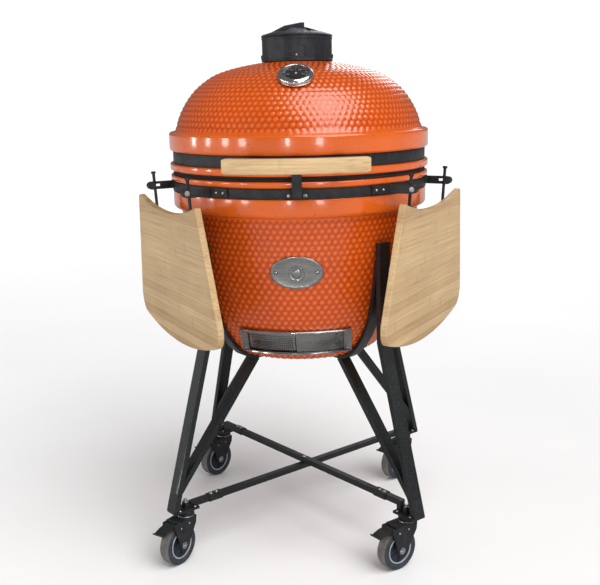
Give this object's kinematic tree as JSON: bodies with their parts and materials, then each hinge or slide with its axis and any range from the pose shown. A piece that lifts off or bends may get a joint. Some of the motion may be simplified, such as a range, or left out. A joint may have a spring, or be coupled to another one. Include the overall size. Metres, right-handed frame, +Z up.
{
  "type": "kamado ceramic grill",
  "caption": "Egg-shaped ceramic charcoal grill with a hinged dome, draft door, top vent and folding side shelves, held in a braced steel cart on braked casters.",
  "frame": {"origin": "on the floor under the vertical axis of the ceramic body, level with the bottom of the wheels", "axes": "+Z up, the front with handle, latch and draft door faces -Y, +X is at the right of a person who faces the front"},
  "size_m": [0.7975, 0.772, 1.2215],
  "materials": {
    "glaze": "glossy orange crackle-free glaze",
    "clay": "unglazed fire clay",
    "felt": "black gasket felt",
    "coat": "satin black powder coat",
    "frame_paint": "hammered black powder coat",
    "iron": "matt black cast iron",
    "steel": "brushed stainless steel",
    "bezel": "polished steel",
    "dial": "matt black dial",
    "pointer": "red paint",
    "bamboo": "oiled bamboo",
    "tyre": "grey rubber tread",
    "hub": "dark blue-black plastic"
  },
  "bodies": {
    "grill": {"base_shell": "glaze", "fire_box": "clay", "fire_ring": "clay", "base_gasket": "felt", "charcoal_grate": "iron", "cooking_grid": "steel", "base_band": "coat", "latch_bracket": "coat", "hinge_base_bracket": "coat", "hinge_pin": "steel", "hinge_spring_l": "steel", "hinge_spring_r": "steel", "name_plate": "steel", "draft_frame": "steel", "shelf_arm_lf": "coat", "shelf_arm_lr": "coat", "shelf_arm_rf": "coat", "shelf_arm_rr": "coat", "cross_bar_a": "frame_paint", "cross_bar_b": "frame_paint", "cradle_ring": "frame_paint", "leg_frame_fl": "frame_paint", "leg_frame_fr": "frame_paint", "leg_frame_rl": "frame_paint", "leg_frame_rr": "frame_paint"},
    "lid": {"dome_shell": "glaze", "dome_gasket": "felt", "lid_band": "coat", "handle_grip": "bamboo", "handle_bracket_l": "coat", "handle_bracket_r": "coat", "hinge_lid_arm": "coat", "vent_collar": "iron", "thermometer_case": "bezel", "thermometer_dial": "dial"},
    "vent_cap": {"vent_cap": "iron"},
    "pointer": {"thermometer_needle": "pointer"},
    "latch": {"latch_hook": "coat"},
    "draft_slide": {"draft_slide": "steel"},
    "draft_screen": {"draft_screen": "steel"},
    "shelf_left": {"shelf_board_l": "bamboo", "shelf_carrier_l": "coat"},
    "shelf_right": {"shelf_board_r": "bamboo", "shelf_carrier_r": "coat"},
    "caster_fl": {"caster_fork_fl": "coat"},
    "wheel_fl": {"wheel_hub_fl": "hub", "tyre_fl": "tyre"},
    "pedal_fl": {"brake_pedal_fl": "coat"},
    "caster_fr": {"caster_fork_fr": "coat"},
    "wheel_fr": {"wheel_hub_fr": "hub", "tyre_fr": "tyre"},
    "pedal_fr": {"brake_pedal_fr": "coat"},
    "caster_rl": {"caster_fork_rl": "coat"},
    "wheel_rl": {"wheel_hub_rl": "hub", "tyre_rl": "tyre"},
    "pedal_rl": {"brake_pedal_rl": "coat"},
    "caster_rr": {"caster_fork_rr": "coat"},
    "wheel_rr": {"wheel_hub_rr": "hub", "tyre_rr": "tyre"},
    "pedal_rr": {"brake_pedal_rr": "coat"}
  },
  "joints": [
    {"name": "lid_hinge", "type": "hinge", "parent": "grill", "child": "lid", "pos_m": [0, 0.362, 0.884], "axis": [-1, 0, 0], "range_deg": [0, 75]},
    {"name": "vent_turn", "type": "hinge", "parent": "lid", "child": "vent_cap", "pos_m": [0, 0, 1.19], "axis": [0, 0, 1], "range_deg": [0, 45]},
    {"name": "pointer_turn", "type": "hinge", "parent": "lid", "child": "pointer", "pos_m": [0, -0.2105, 1.0958], "axis": [0, -0.5299, 0.848], "range_deg": [-150, 120]},
    {"name": "latch_turn", "type": "hinge", "parent": "grill", "child": "latch", "pos_m": [0, -0.313, 0.8545], "axis": [1, 0, 0], "range_deg": [0, 80]},
    {"name": "draft_slide_turn", "type": "hinge", "parent": "grill", "child": "draft_slide", "pos_m": [0, 0, 0.5127], "axis": [0, 0, -1], "range_deg": [0, 26]},
    {"name": "draft_screen_turn", "type": "hinge", "parent": "grill", "child": "draft_screen", "pos_m": [0, 0, 0.5127], "axis": [0, 0, 1], "range_deg": [0, 26]},
    {"name": "shelf_left_fold", "type": "hinge", "parent": "grill", "child": "shelf_left", "pos_m": [-0.29113, -0.16673, 0.8575], "axis": [-0.497, 0.8678, 0], "range_deg": [0, 93.5]},
    {"name": "shelf_right_fold", "type": "hinge", "parent": "grill", "child": "shelf_right", "pos_m": [0.29678, -0.15647, 0.8575], "axis": [-0.4664, -0.8846, 0], "range_deg": [0, 93.5]},
    {"name": "swivel_fl", "type": "hinge", "parent": "grill", "child": "caster_fl", "pos_m": [-0.27486, -0.23558, 0.1134], "axis": [0, 0, 1], "continuous": true},
    {"name": "roll_fl", "type": "hinge", "parent": "caster_fl", "child": "wheel_fl", "pos_m": [-0.29229, -0.26242, 0.048], "axis": [0.8387, -0.5446, 0], "continuous": true},
    {"name": "brake_fl", "type": "hinge", "parent": "caster_fl", "child": "pedal_fl", "pos_m": [-0.30318, -0.27919, 0.0995], "axis": [-0.8387, 0.5446, 0], "range_deg": [0, 14]},
    {"name": "swivel_fr", "type": "hinge", "parent": "grill", "child": "caster_fr", "pos_m": [0.23558, -0.27486, 0.1134], "axis": [0, 0, 1], "continuous": true},
    {"name": "roll_fr", "type": "hinge", "parent": "caster_fr", "child": "wheel_fr", "pos_m": [0.21036, -0.29456, 0.048], "axis": [0.6157, -0.788, 0], "continuous": true},
    {"name": "brake_fr", "type": "hinge", "parent": "caster_fr", "child": "pedal_fr", "pos_m": [0.1946, -0.30687, 0.0995], "axis": [-0.6157, 0.788, 0], "range_deg": [0, 14]},
    {"name": "swivel_rl", "type": "hinge", "parent": "grill", "child": "caster_rl", "pos_m": [-0.23558, 0.27486, 0.1134], "axis": [0, 0, 1], "continuous": true},
    {"name": "roll_rl", "type": "hinge", "parent": "caster_rl", "child": "wheel_rl", "pos_m": [-0.25657, 0.25071, 0.048], "axis": [0.7547, -0.6561, 0], "continuous": true},
    {"name": "brake_rl", "type": "hinge", "parent": "caster_rl", "child": "pedal_rl", "pos_m": [-0.2697, 0.23561, 0.0995], "axis": [-0.7547, 0.6561, 0], "range_deg": [0, 14]},
    {"name": "swivel_rr", "type": "hinge", "parent": "grill", "child": "caster_rr", "pos_m": [0.27486, 0.23558, 0.1134], "axis": [0, 0, 1], "continuous": true},
    {"name": "roll_rr", "type": "hinge", "parent": "caster_rr", "child": "wheel_rr", "pos_m": [0.25223, 0.21295, 0.048], "axis": [0.7071, -0.7071, 0], "continuous": true},
    {"name": "brake_rr", "type": "hinge", "parent": "caster_rr", "child": "pedal_rr", "pos_m": [0.23809, 0.19881, 0.0995], "axis": [-0.7071, 0.7071, 0], "range_deg": [0, 14]}
  ]
}
